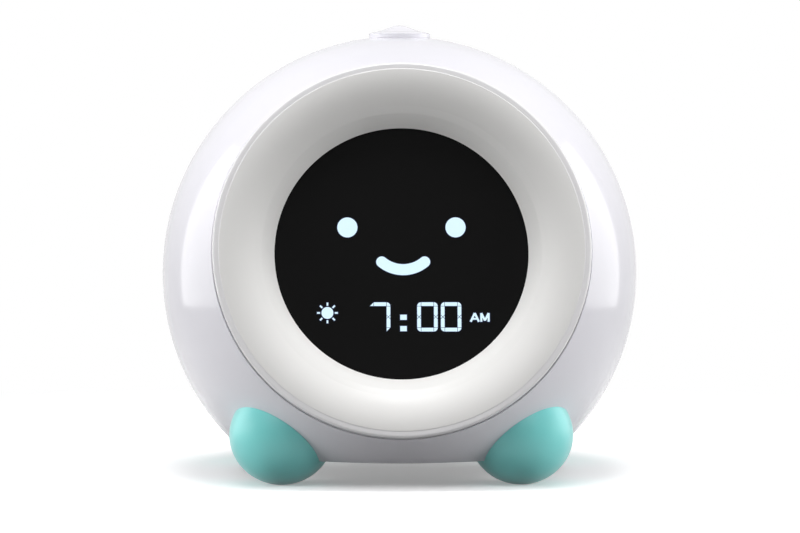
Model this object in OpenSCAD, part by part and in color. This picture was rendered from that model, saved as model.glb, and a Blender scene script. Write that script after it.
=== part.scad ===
// Round alarm clock with a lit face ring, standing on four ball feet.
// Millimetres. +Z up, the face looks along -Y, and the feet stand on z = 0.

/* [Body] */
// Diameter of the ball-shaped body
body_d = 120; // [116:0.5:126]
// Height of the flat underside above the table
base_z = 6.2; // [4.5:0.1:7.5]
// Height of the cap that the flat underside cuts off the ball
base_cut_h = 15.6; // [15:0.1:17]
// Wall of the two shells
shell_wall = 2.2; // [1.8:0.1:2.8]
// Lean of the face behind upright, in degrees
face_tilt = 11.5; // [8:0.5:14]
// Where the two shells part, behind the ball's centre
seam_back = 3; // [1:0.5:5]

/* [Face ring] */
// Outer diameter of the ring that fills the face opening
ring_d = 92.6; // [90:0.1:94]
// How far the rim stands out in front of the opening's edge
rim_proud = 2.74; // [2:0.02:3.5]
// Width of the flat rim
rim_w = 1.9; // [1.2:0.1:3]
// Radius of the rounded slope inside the rim
slope_r = 14; // [13:0.5:15]
// Wall of the ring
ring_wall = 1.8; // [1.5:0.1:2]
// Gap between the ring and the shell
ring_gap = 0.25; // [0.15:0.05:0.4]

/* [Display] */
// Diameter of the black window that shows
window_d = 62.4; // [60:0.2:64]
// How deep the window lies behind the rim
window_depth = 7.6; // [7:0.1:8.2]
// Thickness of the window
window_t = 2; // [1.5:0.1:2.5]
// Height of the digits
digit_h = 7.2; // [6:0.1:8]
// Width of one digit
digit_w = 5; // [4.5:0.1:5.6]
// Width of one digit segment
segment_w = 0.95; // [0.8:0.05:1.1]
// Spacing of the two eyes from the middle
eye_x = 13.3; // [11:0.1:15]
// Radius of an eye dot
eye_r = 2.47; // [2:0.01:3]
// Thickness of the lit layer
segment_t = 0.12; // [0.08:0.01:0.2]

/* [Feet] */
// Width of a foot
foot_w = 25.8; // [24:0.2:28]
// Length of a foot from front to back
foot_l = 23.2; // [21:0.2:25]
// Height of a foot, before its flat is cut
foot_h = 24.6; // [23:0.1:26]
// How deep a foot's centre lies inside the ball's surface
foot_sink = 3.35; // [2.5:0.05:4.5]
// Direction of the front feet, from sideways towards the front, in degrees
foot_angle = 44.7; // [42:0.1:47]
// Direction of the rear feet, from sideways towards the back, in degrees
rear_foot_angle = 40.6; // [38:0.1:44]

/* [Top button] */
// Diameter of the top button
button_d = 15.4; // [14:0.2:17]
// Height of the button's tip above the ball
button_rise = 2.7; // [2:0.1:3.5]
// How far the top button presses in
button_travel = 1; // [0.5:0.1:1]

/* [Rear panel] */
// Diameter of the flat rear panel
panel_d = 55; // [53:0.5:57]
// Diameter of a rear key
key_d = 7.2; // [6:0.2:7.4]
// Radius of the circle that the keys stand on
key_circle_r = 18.5; // [18:0.1:19]
// How far a key presses in
key_travel = 0.5; // [0.3:0.1:0.5]
// How far a key stands out
key_proud = 0.9; // [0.7:0.1:1.5]
// Diameter of the loudspeaker
speaker_d = 28; // [26:0.5:28.5]
// Radius of one hole of the speaker grille
grille_hole_r = 0.8; // [0.5:0.05:0.9]

/* [Batteries] */
// Diameter of a cell
cell_d = 10.5; // [10:0.1:10.5]
// Length of a cell with its button end
cell_l = 44.5; // [43:0.1:44.5]
// Room for one cell across the box
cell_pitch = 10.9; // [10.7:0.1:11]

/* [Fits] */
// Running gap of a key or button in its hole
run_gap = 0.1; // [0.05:0.01:0.1]
// Gap round a plate or board that is laid in
seat_gap = 0.2; // [0.1:0.05:0.3]
// Radius of a small screw
screw_r = 1; // [0.9:0.05:1.2]
// Radius of a small screw's head
screw_head_r = 1.9; // [1.7:0.1:2]
// Height of a screw head
screw_head_h = 1.3; // [1:0.1:1.5]
// Thickness of a circuit board
board_t = 1.6; // [1.2:0.1:1.8]

/* [Hidden] */
$fn = 96;
eps = 0.01;
big = 200;
ball_facets = 180;
screw_facets = 32;
white = [0.95, 0.95, 0.96];
cool_white = [0.90, 0.90, 0.92];
teal = [0.45, 0.80, 0.75];
board_green = [0.10, 0.35, 0.22];
steel = [0.72, 0.73, 0.75];
dark = [0.15, 0.15, 0.17];

// Ball and its flat underside
ball_r = body_d / 2;
inner_r = ball_r - shell_wall;
centre_z = base_z + ball_r - base_cut_h;
wall_bite = 0.4;
base_plate_t = 2.2;
base_top = base_z + base_plate_t;
base_plate_gap = 0.05;
base_plate_r = sqrt(pow(inner_r - base_plate_gap, 2) - pow(centre_z - base_z, 2));

// Screws: small ones of one size inside, and longer ones for the shells
small_screw_l = 6;
panel_screw_l = 4.5;
base_screw_l = 4;
shell_screw_r = 1.25;
shell_head_r = 2.3;
shell_head_h = 1.8;
head_gap = 0.1;
boss_r = 2.4;
slot_w = 0.5;
screw_spare = 0.3;

// Ring
opening_r = ring_d / 2 + ring_gap;
rim_front = sqrt(ball_r * ball_r - opening_r * opening_r) + rim_proud;
rim_in_r = ring_d / 2 - rim_w;
rim_round = 1;
slope_span = 44;
slope_c_z = rim_front - slope_r;
ring_skirt = 2.2;
ring_screw_r = rim_in_r - 2.9;
ring_screw_angles = [45, 135, 225, 315];
window_front = rim_front - window_depth;
lens_lap = 2.3;
lens_r = window_d / 2 + lens_lap;
lens_front = window_front - 0.4;
lens_back = lens_front - window_t;
collar_in_r = lens_r + seat_gap;
collar_wall = 2;
collar_r = collar_in_r + collar_wall;
collar_back = lens_back - 1.6;

// Ledge of the front shell, which carries the ring, the holder and the night light
ledge_top = rim_front - 7.1;
ledge_t = 2;
ledge_back = ledge_top - ledge_t;
ledge_in_r = ring_screw_r - 2.5;
ledge_out_r = opening_r + 3;
holder_screw_angles = [0, 90, 180, 270];
holder_boss_h = 3;

// Seam, and the bosses that take the shells' screws, each with a rib out to the wall
tongue_h = 2;
tongue_w = shell_wall / 2;
tongue_gap = 0.05;
rib_t = 1.6;
rib_gap = 0.3;
shell_boss_r = 3;
shell_boss_circle = inner_r - 6.3;
// The lower two screws sit above the rear feet, where a driver reaches them
shell_boss_angles = [35, 145, 200, 340];
shell_boss_back = 26;
shell_screw_seat = 14;
shell_screw_reach = 6;
base_boss_circle = base_plate_r - 3.9;
base_boss_r = 2.6;
base_boss_h = 3.6;
front_base_angles = [245, 295];
rear_base_angles = [75, 105];

// Display module behind the window
lcd_w = 48;
lcd_h = 44;
lcd_t = 2.3;
lcd_front = lens_back - seat_gap;
lcd_back = lcd_front - lcd_t;
guide_t = 3;
guide_front = lcd_back - seat_gap;
guide_back = guide_front - guide_t;
strip_t = 1.2;
strip_w = 40;
lamp_count = 6;
lamp_pitch = 6;
lamp_w = 3;
lamp_h = 1.6;
flex_w = 14;
flex_t = 0.25;
flex_foot = 5;
flex_plug_h = 1.1;
holder_r = collar_r + 1.2;
holder_front = ledge_back;
holder_back = guide_back - 1.4;
holder_ear_t = 2;
holder_ear_w = 4;
holder_step_gap = 0.15;
main_post_h = 3.9;
main_front = holder_back - main_post_h;
main_back = main_front - board_t;
main_r = 31;
main_post_r = main_r - 3;
main_post_angles = [40, 140, 220, 320];

// Marks on the window, from its middle
segment_gap = 0.12;
eye_y = 6.5;
smile_x = 0.4;
smile_y = -4;
smile_r = 8.2;
smile_half_w = 1.35;
smile_span = 40;
digit_y = -15.7;
hour_x = -5.3;
minute_xs = [6.3, 12.1];
colon_x = 0.43;
colon_ys = [-15.8, -18.6];
colon_size = [1.6, 1.25];
half_day_x = 16.9;
half_day_y = -16.9;
letter_w = 2;
letter_h = 2.1;
letter_stroke = 0.5;
sun_x = -18.2;
sun_y = -14.7;
sun_r = 1.45;
ray_start = 1.8;
ray_size = [0.75, 0.4];

// Parts on the main board, as places and sizes from its middle
chips = [[-6, -4, 12, 12, 1.4], [10, 2, 6, 5, 1.2], [-16, 0, 8, 3.4, 2.6]];
capacitor_places = [[14, -8], [18, 10], [-14, -10]];
capacitor_r = 2.5;
capacitor_h = 7;
plug_w = 6;
plug_d = 4;
plug_h = 4;
plug_back = main_back - plug_h;
plug_places = [[-14, 16], [-5, 16], [4, 16], [13, 16], [0, -16]];

// Night light
light_wall_gap = 3.5;
light_board_w = 5;
light_front = ledge_top - 5.4;
light_back = light_front - board_t;
light_out_r = sqrt(inner_r * inner_r - light_front * light_front) - light_wall_gap;
light_in_r = light_out_r - light_board_w;
light_post_r = light_out_r - light_board_w / 2;
light_post_angles = [22.5, 112.5, 202.5, 292.5];
led_count = 12;
led_start = 15;
led_side = 3;
led_h = 1.2;
shell_boss_front = light_back - 2.5;

// Rear panel, in the face's own frame, looking back along -Z
panel_r = panel_d / 2;
panel_out = -sqrt(ball_r * ball_r - panel_r * panel_r);
panel_t = 2.2;
panel_in = panel_out + panel_t;
panel_ledge_t = 2;
panel_boss_circle = panel_r - 2.5;
panel_boss_r = 2;
panel_boss_h = 5;
panel_screw_angles = [0, 90, 180, 270];
key_names = ["alarm", "clock", "up", "down", "sound", "nap"];
key_angles = [-30, 18, 66, 114, 162, 210];
key_r = key_d / 2;
key_edge = 0.4;
key_mark_deep = 0.25;
key_flange_r = key_r + 0.6;
key_flange_t = 0.5;
key_flange_gap = 0.1;
key_back = panel_in + key_flange_gap + key_flange_t;
panel_ledge_in = key_circle_r + key_flange_r + seat_gap;
plunger_r = 1.2;
plunger_l = 1.6;
switch_spare = 0.5;
switch_top = key_back + key_travel + switch_spare;
switch_side = 4.5;
switch_h = 2.2;
key_board_back = switch_top + switch_h;
key_board_front = key_board_back + board_t;
key_board_in_r = speaker_d / 2 + 0.5;
key_board_out_r = panel_boss_circle - panel_boss_r - 0.3;
key_post_r = 1.8;
key_post_angles = [42, 138, 240, 300];
grille_pitch = 3;
grille_rings = 3;
socket_w = 9;
socket_h = 3.3;
socket_wall = 0.3;
socket_angle = 270;
socket_inset = 0.2;
tongue_size = [6.6, 0.7];

// The clock's reach in front of and behind the ball's centre
corner = [ring_d / 2 - rim_round, rim_front - rim_round];
reach_front = corner[1] * cos(face_tilt) + corner[0] * sin(face_tilt) + rim_round;
reach_back = -panel_out * cos(face_tilt) + panel_r * sin(face_tilt);
ball_y = (reach_front - reach_back) / 2;

// Loudspeaker
gasket_t = 0.6;
gasket_w = 2;
speaker_r = speaker_d / 2;
speaker_back = panel_in + gasket_t;
speaker_rim_h = 2.2;
speaker_rim_w = 1.1;
speaker_waist = 5;
speaker_h = 9;
cup_wall = 1;
magnet_r = 8;
magnet_h = 3;
voice_r = 3.6;
cone_h = 4.4;
cone_t = 0.4;
cone_rim_z = 0.6;

// Top button
button_r = button_d / 2;
button_tip = centre_z + ball_r + button_rise;
button_lip = 1.1;
button_edge = centre_z + sqrt(ball_r * ball_r - button_r * button_r) + button_lip;
button_wall = 1.4;
button_roof = 1.2;
button_stem_r = 1.6;
guide_wall = 1.4;
guide_r = button_r + run_gap;
button_guide_bottom = centre_z + inner_r - 5.6;
button_flange_r = guide_r + 0.8;
button_flange_t = 1;
button_flange_gap = 0.1;
button_stem_bottom = button_guide_bottom - 2;
button_plunger_l = 2;
button_switch_top = button_stem_bottom - button_travel - 0.3;
button_switch_h = 3.5;
button_switch_side = 6;
button_board_top = button_switch_top - button_switch_h;
button_post_r = 2;
button_post_x = guide_r + guide_wall + button_post_r + 1;
button_board_w = 2 * (button_post_x + 2.8);
button_board_l = 10;

// Batteries
contact_t = 0.4;
contact_w = 8;
spring_room = 7 - 2 * contact_t;
box_in_x = cell_l + spring_room + 2 * contact_t;
box_in_y = 3 * cell_pitch;
box_wall = 1.5;
door_t = 1.6;
cell_gap = 0.4;
cell_z = base_z + door_t + cell_gap + cell_d / 2;
box_roof = cell_z + cell_d / 2 + cell_gap;
box_top = box_roof + box_wall;
nub_l = 1;
nub_r = 1.9;
cell_start = -box_in_x / 2 + contact_t;
spring_start = cell_start + cell_l;
spring_l = box_in_x / 2 - contact_t - spring_start;
spring_wire = 0.35;
spring_turns = 4;
spring_wide_r = 3.6;
spring_narrow_r = 2.4;
tab_r = 3;
door_screw_r = 1.25;
door_screw_l = 4.5;
door_screw_x = box_in_x / 2 + box_wall + tab_r + 0.4;
door_head_r = screw_head_r + 0.1;
door_head_h = 0.9;
door_boss_h = 8;
groove_w = 0.8;
groove_l = 14;
groove_deep = 0.4;
groove_pitch = 2;

// Feet
foot_flat = 0.15;
foot_z = foot_h / 2 - foot_flat;
foot_out = sqrt(pow(ball_r - foot_sink, 2) - pow(centre_z - foot_z, 2));

// Leads: the two ends' middle points, from the start and from the plug
upward = [0, cos(face_tilt), sin(face_tilt)];
wire_r = 0.45;
wire_apart = [wire_r + 0.15, 0, 0];
stub_l = 1.2;
ribbon_half_w = 2.6;
ribbon_half_t = 0.35;
battery_exit = [-14, 8];
battery_bends = [[0, 4, -1], [-9, -8, -12], [-2, -2, -7]];
speaker_exit = [4, 4];
speaker_bends = [[2, 4, 5.5], [-1, 0, -34], [1, 2, -18]];
ribbon_bends = [[0, 1.5, 7.5], [-2, 6, -34], [0, 4, -16]];
light_exit_angle = 120;
light_bends = [[1, -1, -5], [-10, 18, -4], [-3, 6, -6]];
button_exit = [-6, 0];
button_bends = [[-1, -4, -0.5], [1, 14, -7], [-1, 4, -6]];

// Moves the whole clock so that the origin is below the middle of its depth
module stand() {
    translate([0, ball_y, 0]) children();
}

// Places a piece in the leaning face's frame: +Z out of the face, +Y up it
module face() {
    translate([0, 0, centre_z]) rotate([90 - face_tilt, 0, 0]) children();
}

// Repeats a piece round the face's axis
module round_face(angles, radius) {
    for (a = angles) rotate([0, 0, a]) translate([radius, 0, 0]) children();
}

// A tube or disc between two heights
module ring_between(outer, inner, low, high) {
    translate([0, 0, low]) difference() {
        cylinder(r = outer, h = high - low);
        translate([0, 0, -1]) cylinder(r = inner, h = high - low + 2);
    }
}

// A pan-head screw: the head's underside at z = 0, the shank going up
module screw(shank_r, shank_l, head_r, head_h) {
    translate([0, 0, -head_h / 4]) cylinder(r = shank_r, h = shank_l + head_h / 4, $fn = screw_facets);
    difference() {
        translate([0, 0, -head_h]) cylinder(r = head_r, h = head_h, $fn = screw_facets);
        for (a = [0, 90]) rotate([0, 0, a]) translate([-head_r * 0.6, -slot_w / 2, -head_h - 1])
            cube([head_r * 1.2, slot_w, 1 + head_h / 2]);
    }
}

// Everything above a height, or below it
module above(z) {
    translate([-big / 2, -big / 2, z]) cube(big);
}

module below(z) {
    above(z - big);
}

// The hollow ball, still whole
module ball_wall(outer, inner) {
    difference() {
        sphere(r = outer, $fn = ball_facets);
        sphere(r = inner, $fn = ball_facets);
    }
}

// Screw holes of the feet, through the shell wall towards the ball's centre
module foot_holes(side) {
    for (m = [-1, 1]) aim_at_foot(m, side) translate([0, 0, inner_r - 1])
        cylinder(r = screw_r, h = shell_wall + 6, $fn = screw_facets);
}

// Direction of a foot seen from above; m is -1 or 1 for left or right, side -1 in front, 1 behind
function foot_turn(m, side) = let (a = side < 0 ? foot_angle : rear_foot_angle)
    atan2(side * sin(a), m * cos(a));

// Points +Z from the ball's centre to a foot's centre
module aim_at_foot(m, side) {
    translate([0, 0, centre_z]) rotate([0, 0, foot_turn(m, side)])
        rotate([0, 90 + atan2(centre_z - foot_z, foot_out), 0]) children();
}

// Boss with a rib out to the shell, which takes a screw of the base plate
module base_boss(angle) {
    translate([0, 0, base_top]) rotate([0, 0, angle]) {
        translate([base_boss_circle, 0, 0]) cylinder(r = base_boss_r, h = base_boss_h);
        translate([base_boss_circle, -rib_t / 2, 0]) cube([ball_r - base_boss_circle, rib_t, base_boss_h]);
    }
}

module base_hole(angle) {
    translate([0, 0, base_z - 1]) rotate([0, 0, angle])
        translate([base_boss_circle, 0, 0]) cylinder(r = screw_r, h = base_screw_l + 3, $fn = screw_facets);
}

// Boss for a shell screw between two depths, with a rib out to the wall up to rib_front
module shell_boss(low, high, rib_front) {
    translate([0, 0, low]) {
        cylinder(r = shell_boss_r, h = high - low);
        translate([0, -rib_t / 2, 0]) cube([ball_r - shell_boss_circle, rib_t, rib_front - low]);
    }
}

// Front shell: ball wall, ledge and bosses inside, button guide on top
module front_shell() {
    color(white) stand() difference() {
        union() {
            difference() {
                face() intersection() {
                    ball_wall(ball_r, inner_r);
                    above(-seam_back);
                }
                face() cylinder(r = opening_r, h = big);
            }
            face() intersection() {
                ball_wall(inner_r + tongue_w, inner_r);
                above(-seam_back - tongue_h);
                below(-seam_back + eps);
            }
            intersection() {
                union() {
                    face() ring_between(ledge_out_r, ledge_in_r, ledge_back, ledge_top);
                    face() round_face(holder_screw_angles, ring_screw_r)
                        translate([0, 0, ledge_back]) cylinder(r = boss_r, h = ledge_t + holder_boss_h);
                    face() round_face(light_post_angles, light_post_r) translate([0, 0, light_front])
                        cylinder(r = boss_r, h = ledge_back + ledge_t * 0.75 - light_front);
                    face() round_face(shell_boss_angles, shell_boss_circle)
                        shell_boss(-seam_back, shell_boss_front, shell_boss_front);
                    for (a = front_base_angles) base_boss(a);
                    translate([0, 0, button_guide_bottom])
                        cylinder(r = guide_r + guide_wall, h = ball_r);
                    for (m = [-1, 1]) translate([m * button_post_x, 0, button_board_top])
                        cylinder(r = button_post_r, h = ball_r);
                }
                translate([0, 0, centre_z]) sphere(r = inner_r + wall_bite, $fn = ball_facets);
            }
        }
        translate([0, 0, button_guide_bottom - 1]) cylinder(r = guide_r, h = ball_r);
        face() round_face(ring_screw_angles, ring_screw_r)
            translate([0, 0, ledge_back - 1]) cylinder(r = screw_r, h = ledge_t + 2, $fn = screw_facets);
        face() round_face(holder_screw_angles, ring_screw_r)
            translate([0, 0, ledge_back - 1])
                cylinder(r = screw_r, h = small_screw_l - 1, $fn = screw_facets);
        face() round_face(light_post_angles, light_post_r)
            translate([0, 0, light_front - 1])
                cylinder(r = screw_r, h = small_screw_l - 0.4, $fn = screw_facets);
        face() round_face(shell_boss_angles, shell_boss_circle) translate([0, 0, -seam_back - 1])
            cylinder(r = shell_screw_r, h = shell_screw_reach + seam_back + 1, $fn = screw_facets);
        for (m = [-1, 1]) translate([m * button_post_x, 0, button_board_top - 1])
            cylinder(r = screw_r, h = small_screw_l, $fn = screw_facets);
        for (a = front_base_angles) base_hole(a);
        foot_holes(-1);
        below(base_z);
    }
}

// Rear shell: the other half of the ball, with a ledge for the rear panel
module rear_shell() {
    color(white) stand() difference() {
        union() {
            face() difference() {
                intersection() {
                    ball_wall(ball_r, inner_r);
                    below(-seam_back);
                }
                intersection() {
                    sphere(r = inner_r + tongue_w + tongue_gap, $fn = ball_facets);
                    above(-seam_back - tongue_h - 2 * tongue_gap);
                }
                translate([0, 0, panel_in - big]) cylinder(r = panel_r + seat_gap, h = big);
            }
            intersection() {
                union() {
                    face() ring_between(panel_r + 3, panel_ledge_in, panel_in, panel_in + panel_ledge_t);
                    face() round_face(panel_screw_angles, panel_boss_circle)
                        translate([0, 0, panel_in]) cylinder(r = panel_boss_r, h = panel_boss_h);
                    face() round_face(shell_boss_angles, shell_boss_circle)
                        shell_boss(-shell_boss_back, -seam_back, -seam_back - tongue_h - rib_gap);
                    for (a = rear_base_angles) base_boss(a);
                }
                translate([0, 0, centre_z]) sphere(r = inner_r + wall_bite, $fn = ball_facets);
                face() below(-seam_back);
            }
        }
        face() round_face(panel_screw_angles, panel_boss_circle)
            translate([0, 0, panel_in - 1]) cylinder(r = screw_r, h = panel_boss_h, $fn = screw_facets);
        face() round_face(shell_boss_angles, shell_boss_circle) {
            translate([0, 0, -big]) cylinder(r = shell_head_r + head_gap, h = big - shell_screw_seat);
            translate([0, 0, -shell_screw_seat - 1])
                cylinder(r = shell_screw_r, h = shell_screw_seat, $fn = screw_facets);
        }
        for (a = rear_base_angles) base_hole(a);
        foot_holes(1);
        below(base_z);
    }
}

// Ring profile: rounded slope between the rim and the window, same wall all the way
module slope_band(front_r) {
    intersection() {
        difference() {
            circle(r = front_r, $fn = ball_facets);
            circle(r = front_r - ring_wall, $fn = ball_facets);
        }
        square(front_r + 1);
    }
}

// Face ring: a turned shape with a flat rim, a rounded slope and a collar for the window
module face_ring() {
    cone_r = rim_in_r - slope_r * sin(slope_span);
    cone_z = slope_c_z + slope_r * cos(slope_span);
    skirt_z = cone_z - ring_skirt;
    color(white) stand() face() difference() {
        union() {
            rotate_extrude($fn = ball_facets) {
                difference() {
                    translate([rim_in_r, slope_c_z]) mirror([1, 0]) slope_band(slope_r);
                    square([cone_r, big]);
                    square([big, skirt_z]);
                }
                polygon([
                    [cone_r + eps, cone_z], [window_d / 2, window_front],
                    [window_d / 2 + 0.4, lens_front], [collar_in_r, lens_front],
                    [collar_in_r, collar_back], [collar_r, collar_back],
                    [collar_r, skirt_z], [cone_r + ring_wall, cone_z - ring_wall * 0.6],
                    [cone_r + ring_wall / 3, cone_z - ring_wall / 18]
                ]);
                difference() {
                    translate([rim_in_r - eps, ledge_top]) square([rim_w + eps, rim_front - ledge_top]);
                    translate([ring_d / 2 - rim_round, rim_front - rim_round]) difference() {
                        square(2 * rim_round);
                        circle(r = rim_round);
                    }
                }
            }
            intersection() {
                round_face(ring_screw_angles, ring_screw_r)
                    translate([0, 0, ledge_top]) cylinder(r = boss_r, h = rim_front - ledge_top);
                rotate_extrude($fn = ball_facets) union() {
                    square([rim_in_r, ledge_top + 1.5]);
                    translate([rim_in_r, slope_c_z]) circle(r = slope_r - ring_wall / 2, $fn = ball_facets);
                }
            }
        }
        round_face(ring_screw_angles, ring_screw_r)
            translate([0, 0, ledge_top - 1])
                cylinder(r = screw_r, h = small_screw_l - ledge_t + 1 + screw_spare, $fn = screw_facets);
    }
}

// Black window that closes the ring
module display_lens() {
    color([0.08, 0.08, 0.08]) stand() face() translate([0, 0, lens_back])
        cylinder(r = lens_r, h = window_t, $fn = ball_facets);
}

// Rectangle with round corners, about its middle
module rounded(w, h, r) {
    square([w - 2 * r, h], center = true);
    square([w, h - 2 * r], center = true);
    for (x = [-1, 1], y = [-1, 1]) translate([x * (w / 2 - r), y * (h / 2 - r)])
        circle(r = r, $fn = screw_facets);
}

// All segments of a digit but the middle one, parted by fine gaps
module digit_frame() {
    in_w = digit_w - 2 * segment_w;
    in_h = digit_h - 2 * segment_w;
    difference() {
        rounded(digit_w, digit_h, segment_w);
        square([in_w, in_h], center = true);
        for (m = [-1, 1]) {
            translate([m * in_w / 2, 0]) square([segment_gap, digit_h + 1], center = true);
            translate([0, m * in_h / 2]) square([digit_w + 1, segment_gap], center = true);
            for (t = [-45, 45]) translate([m * (digit_w - segment_w) / 2, 0]) rotate(t)
                square([segment_w * 2, segment_gap], center = true);
        }
    }
}

module seven() {
    left = -digit_w / 2;
    right = digit_w / 2;
    top = digit_h / 2;
    intersection() {
        digit_frame();
        polygon([[left, top - segment_w], [left + segment_w, top], [right, top],
            [right, segment_w - top], [right - segment_w, -top], [right - segment_w, top - segment_w]]);
    }
}

// A straight stroke between two points
module stroke(from, to, w) {
    run = to - from;
    translate(from) rotate(atan2(run[1], run[0])) translate([0, -w / 2]) square([norm(run), w]);
}

module half_day_mark() {
    w = letter_stroke;
    h = letter_h;
    mid = letter_w / 2;
    stroke([0, 0], [mid, h], w);
    stroke([letter_w, 0], [mid, h], w);
    stroke([mid * 0.45, h / 3], [mid * 1.55, h / 3], w * 0.8);
    translate([letter_w + 1.2 * w, 0]) {
        stroke([0, 0], [0, h], w);
        stroke([0, h], [mid * 0.9, h / 7], w);
        stroke([mid * 1.8, h], [mid * 0.9, h / 7], w);
        stroke([mid * 1.8, 0], [mid * 1.8, h], w);
    }
}

// A sun: a disc and eight rays
module sun_mark() {
    circle(r = sun_r);
    for (a = [0 : 45 : 315]) rotate(a) translate([ray_start, -ray_size[1] / 2]) square(ray_size);
}

// A plain smile: a band along an arc, with round ends
module smile() {
    side = [smile_r * tan(smile_span), -smile_r];
    translate([0, smile_r]) {
        intersection() {
            difference() {
                circle(r = smile_r + smile_half_w);
                circle(r = smile_r - smile_half_w);
            }
            polygon([[0, 0], 2 * [-side[0], side[1]], 2 * side]);
        }
        for (m = [-1, 1]) translate(smile_r * [m * sin(smile_span), -cos(smile_span)])
            circle(r = smile_half_w);
    }
}

// Lit marks on the window: two eyes, a smile, the time and a sun
module display_segments() {
    color([0.84, 0.94, 0.98]) stand() face() translate([0, 0, lens_front]) linear_extrude(segment_t) {
        for (m = [-1, 1]) translate([m * eye_x, eye_y]) circle(r = eye_r);
        translate([smile_x, smile_y]) smile();
        translate([hour_x, digit_y]) seven();
        for (y = colon_ys) translate([colon_x, y]) square(colon_size, center = true);
        for (x = minute_xs) translate([x, digit_y]) digit_frame();
        translate([half_day_x, half_day_y]) half_day_mark();
        translate([sun_x, sun_y]) sun_mark();
    }
}

// Liquid-crystal glass behind the window
module lcd_glass() {
    color([0.12, 0.13, 0.16]) stand() face() translate([-lcd_w / 2, -lcd_h / 2, lcd_back])
        cube([lcd_w, lcd_h, lcd_t]);
}

// Light guide behind the glass
module backlight_guide() {
    color([0.97, 0.97, 0.92]) stand() face() translate([-lcd_w / 2, -lcd_h / 2, guide_back])
        cube([lcd_w, lcd_h - strip_t - seat_gap, guide_t]);
}

// Strip of lamps along the guide's top edge
module backlight_strip() {
    color(board_green) stand() face() translate([0, lcd_h / 2, guide_back]) {
        translate([-strip_w / 2, -strip_t / 2, 0]) cube([strip_w, strip_t / 2, guide_t]);
        for (i = [0 : lamp_count - 1]) translate([(i - (lamp_count - 1) / 2) * lamp_pitch, 0, 0])
            translate([-lamp_w / 2, -strip_t, (guide_t - lamp_h) / 2])
                cube([lamp_w, strip_t / 2, lamp_h]);
    }
}

// Holder: a tray behind the ring's collar, with four ears screwed to the ledge
module lcd_holder() {
    pocket_w = lcd_w + 2 * seat_gap;
    pocket_h = lcd_h + 2 * seat_gap;
    floor_rim = 6;
    color([0.9, 0.9, 0.88]) stand() face() difference() {
        union() {
            translate([0, 0, holder_back]) cylinder(r = holder_r, h = collar_back - holder_back);
            ring_between(holder_r, collar_r + holder_step_gap, collar_back - eps, holder_front - seat_gap);
            round_face(holder_screw_angles, 0)
                translate([holder_r - 0.6, -holder_ear_w / 2, holder_front - holder_ear_t])
                    cube([ring_screw_r - holder_r + 0.6, holder_ear_w, holder_ear_t]);
            round_face(holder_screw_angles, ring_screw_r)
                translate([0, 0, holder_front - holder_ear_t]) cylinder(r = boss_r, h = holder_ear_t);
            round_face(main_post_angles, main_post_r)
                translate([0, 0, main_front]) cylinder(r = boss_r, h = main_post_h + eps);
        }
        translate([-pocket_w / 2, -pocket_h / 2, guide_back]) cube([pocket_w, pocket_h, big]);
        translate([0, 0, holder_back - 1]) linear_extrude(guide_back - holder_back + 2)
            square([pocket_w - 2 * floor_rim, pocket_h - 2 * floor_rim], center = true);
        translate([-flex_w / 2 - 0.5, -pocket_h / 2 - 1.2, holder_back - 1]) cube([flex_w + 1, 1.3, big]);
        round_face(holder_screw_angles, ring_screw_r)
            translate([0, 0, holder_front - holder_ear_t - 1])
                cylinder(r = screw_r, h = big, $fn = screw_facets);
        round_face(main_post_angles, main_post_r)
            translate([0, 0, main_front - 1])
                cylinder(r = screw_r, h = small_screw_l - 0.6, $fn = screw_facets);
    }
}

// Flat flexible lead from the glass's lower edge to the main board
module lcd_flex() {
    edge_y = -lcd_h / 2 - seat_gap - flex_t;
    low = main_front + flex_plug_h;
    high = lcd_back + 0.6;
    color([0.75, 0.50, 0.20]) stand() face() translate([-flex_w / 2, edge_y, 0]) {
        translate([0, 0, low]) cube([flex_w, flex_t, high - low]);
        translate([0, 0, high - flex_t]) cube([flex_w, flex_t + seat_gap, flex_t]);
        translate([0, 0, low]) cube([flex_w, flex_foot, flex_t]);
    }
}

// Main board, round, on the holder's posts
module main_board() {
    color(board_green) stand() face() difference() {
        translate([0, 0, main_back]) cylinder(r = main_r, h = board_t);
        round_face(main_post_angles, main_post_r)
            translate([0, 0, main_back - 1]) cylinder(r = screw_r, h = board_t + 2, $fn = screw_facets);
    }
}

// Parts on the main board: controller, memory, crystal, capacitors and the plug rows
module board_parts() {
    color(dark) stand() face() {
        for (c = chips) translate([c[0], c[1], main_back - c[4]]) cube([c[2], c[3], c[4]]);
        for (p = capacitor_places) translate([p[0], p[1], main_back - capacitor_h])
            cylinder(r = capacitor_r, h = capacitor_h);
        for (p = plug_places) translate([p[0] - plug_w / 2, p[1] - plug_d / 2, plug_back])
            cube([plug_w, plug_d, plug_h]);
        translate([-flex_w / 2 - 1, -lcd_h / 2 + flex_foot - 2, main_front])
            cube([flex_w + 2, 4, flex_plug_h]);
    }
}

// Ring-shaped board of the night light
module night_light_board() {
    color([0.92, 0.93, 0.92]) stand() face() difference() {
        ring_between(light_out_r, light_in_r, light_back, light_front);
        round_face(light_post_angles, light_post_r)
            translate([0, 0, light_back - 1]) cylinder(r = screw_r, h = board_t + 2, $fn = screw_facets);
    }
}

// Lamps of the night light, facing forward through the ring
module night_light_leds() {
    step = 360 / led_count;
    color([1.0, 0.95, 0.7]) stand() face() for (i = [0 : led_count - 1]) rotate(led_start + i * step)
        translate([light_post_r - led_side / 2, -led_side / 2, light_front])
            cube([led_side, led_side, led_h]);
}

// All the small screws inside, one size: ring, holder, boards and button board
module small_screw() {
    screw(screw_r, small_screw_l, screw_head_r, screw_head_h);
}

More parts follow.
